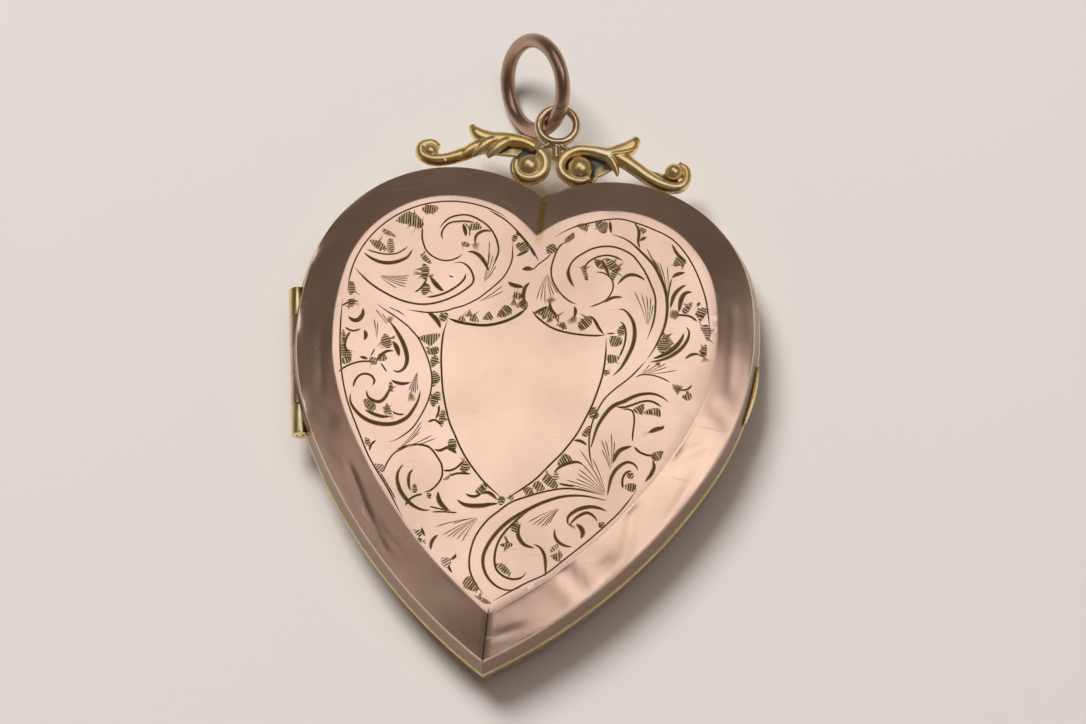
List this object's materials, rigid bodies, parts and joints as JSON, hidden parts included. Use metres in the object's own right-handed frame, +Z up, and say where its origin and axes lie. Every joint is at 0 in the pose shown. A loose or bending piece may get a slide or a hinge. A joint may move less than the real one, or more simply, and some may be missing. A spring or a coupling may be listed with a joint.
{
  "type": "heart locket",
  "caption": "Hinged heart-shaped locket with an engraved bevelled front, scroll castings at the bail, a jump ring, and a framed picture space in each half.",
  "frame": {"origin": "on the flat back face, on the heart's axis of symmetry, between the lobe centres and the tip", "axes": "lying flat on its back: +Z up through the engraved front, +Y towards the bail, +X to the right of a viewer facing the front with the bail up"},
  "size_m": [0.0279, 0.0396, 0.0055],
  "materials": {
    "rose_gold": "polished rose gold, softly worn, hand engraved on the front",
    "gilt_rim": "worn yellow gilding",
    "gilt_casting": "cast yellow gold with grey-green tarnish in the hollows",
    "pale_gold": "pale rose wire, worn",
    "copper_gold": "dark copper-red wire, softly polished",
    "card": "plain aged card",
    "window": "clear thin celluloid"
  },
  "bodies": {
    "case_back": {"back_cover": "rose_gold", "back_rim": "gilt_rim", "back_card": "card", "back_window": "window", "back_frame": "gilt_rim", "back_knuckle_top": "gilt_rim", "back_knuckle_middle": "rose_gold", "back_knuckle_bottom": "gilt_rim", "hinge_pin": "gilt_rim", "scroll_left": "gilt_casting", "scroll_right": "gilt_casting", "bail_loop": "pale_gold"},
    "case_front": {"front_cover": "rose_gold", "front_rim": "gilt_rim", "front_card": "card", "front_window": "window", "front_frame": "gilt_rim", "thumb_lip": "gilt_rim", "front_knuckle_upper": "rose_gold", "front_knuckle_lower": "rose_gold"},
    "jump_ring": {"jump_ring": "copper_gold"}
  },
  "joints": [
    {"name": "lid_hinge", "type": "hinge", "parent": "case_back", "child": "case_front", "pos_m": [-0.01295, 0.0015, 0.0023], "axis": [0.1633, -0.9866, 0], "range_deg": [0, 115]},
    {"name": "ring_swing", "type": "hinge", "parent": "case_back", "child": "jump_ring", "pos_m": [-0.00064, 0.01869, 0.00285], "axis": [0.5592, 0.829, 0], "range_deg": [-50, 15]}
  ]
}
